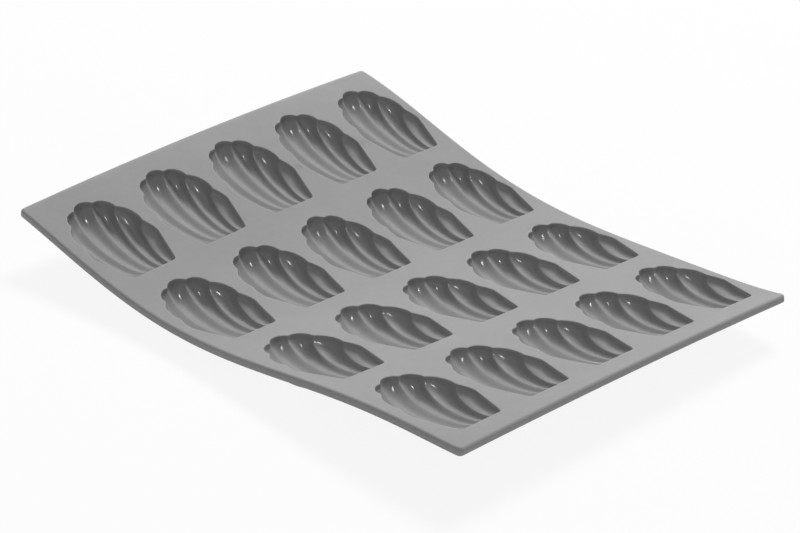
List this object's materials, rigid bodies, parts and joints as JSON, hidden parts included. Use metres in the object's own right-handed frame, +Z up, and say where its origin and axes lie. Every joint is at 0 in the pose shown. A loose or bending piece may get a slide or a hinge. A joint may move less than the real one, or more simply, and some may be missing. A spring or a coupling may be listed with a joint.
{
  "type": "madeleine pan",
  "caption": "Flexible grey silicone madeleine mould: a thin bent sheet with a grid of fluted shell-shaped cups hanging below it.",
  "frame": {"origin": "middle of the footprint at the level that the lowest cups stand on", "axes": "+X along the length towards the front end, +Y across towards the far edge, +Z up"},
  "size_m": [0.2092, 0.1762, 0.0298],
  "materials": {
    "silicone": "satin grey silicone, fine grained"
  },
  "bodies": {
    "row_1": {"sheet_row_1": "silicone", "cup_1_1": "silicone", "cup_1_2": "silicone", "cup_1_3": "silicone", "cup_1_4": "silicone", "cup_1_5": "silicone"},
    "row_2": {"sheet_row_2": "silicone", "cup_2_1": "silicone", "cup_2_2": "silicone", "cup_2_3": "silicone", "cup_2_4": "silicone", "cup_2_5": "silicone", "flex_web_1": "silicone"},
    "row_3": {"sheet_row_3": "silicone", "cup_3_1": "silicone", "cup_3_2": "silicone", "cup_3_3": "silicone", "cup_3_4": "silicone", "cup_3_5": "silicone", "flex_web_2": "silicone"},
    "row_4": {"sheet_row_4": "silicone", "cup_4_1": "silicone", "cup_4_2": "silicone", "cup_4_3": "silicone", "cup_4_4": "silicone", "cup_4_5": "silicone", "flex_web_3": "silicone"}
  },
  "joints": [
    {"name": "bend_1_2", "type": "hinge", "parent": "row_2", "child": "row_1", "pos_m": [-0.05035, 0.00012, 0.0142], "axis": [0, 0.9995, 0.0323], "range_deg": [-40, 60], "stiffness_Nm_per_rad": 0.4, "deforming": ["flex_web_1"]},
    {"name": "bend_2_3", "type": "hinge", "parent": "row_2", "child": "row_3", "pos_m": [-0.00008, 0.00007, 0.00901], "axis": [0, -1, 0.0072], "range_deg": [-40, 60], "stiffness_Nm_per_rad": 0.4, "deforming": ["flex_web_2"]},
    {"name": "bend_3_4", "type": "hinge", "parent": "row_3", "child": "row_4", "pos_m": [0.05002, 0.00002, 0.01334], "axis": [0, -0.9992, 0.0407], "range_deg": [-40, 60], "stiffness_Nm_per_rad": 0.4, "deforming": ["flex_web_3"]}
  ]
}
